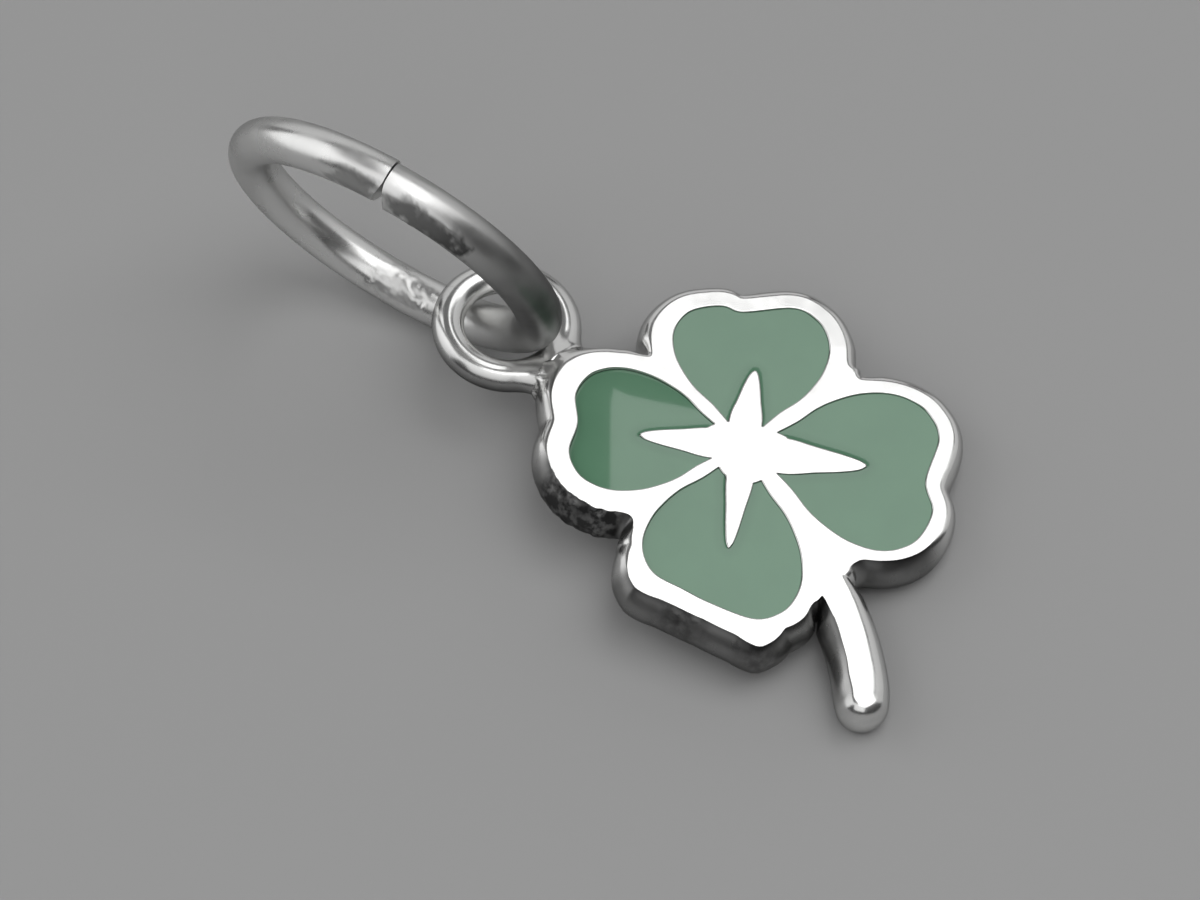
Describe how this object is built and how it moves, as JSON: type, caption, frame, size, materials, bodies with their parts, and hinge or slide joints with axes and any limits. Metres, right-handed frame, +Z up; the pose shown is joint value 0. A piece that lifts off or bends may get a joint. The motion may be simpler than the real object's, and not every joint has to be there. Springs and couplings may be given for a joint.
{
  "type": "four leaf clover pendant",
  "caption": "Small polished silver clover charm with enamelled heart-shaped leaves, a star of veins, a curved stem, a soldered eye and a split jump ring.",
  "frame": {"origin": "on the surface that the pendant lies on, under the middle of its bounding box", "axes": "+Z up from the surface; +Y from the clover to its eye and jump ring; the face of the clover looks up, and the stem points to -X and -Y"},
  "size_m": [0.0098, 0.02, 0.0087],
  "materials": {
    "polished_silver": "polished",
    "green_enamel": "glossy"
  },
  "bodies": {
    "root": {"clover_body": "polished_silver", "enamel_left": "green_enamel", "enamel_top": "green_enamel", "enamel_right": "green_enamel", "enamel_bottom": "green_enamel", "jump_ring": "polished_silver"}
  },
  "joints": []
}
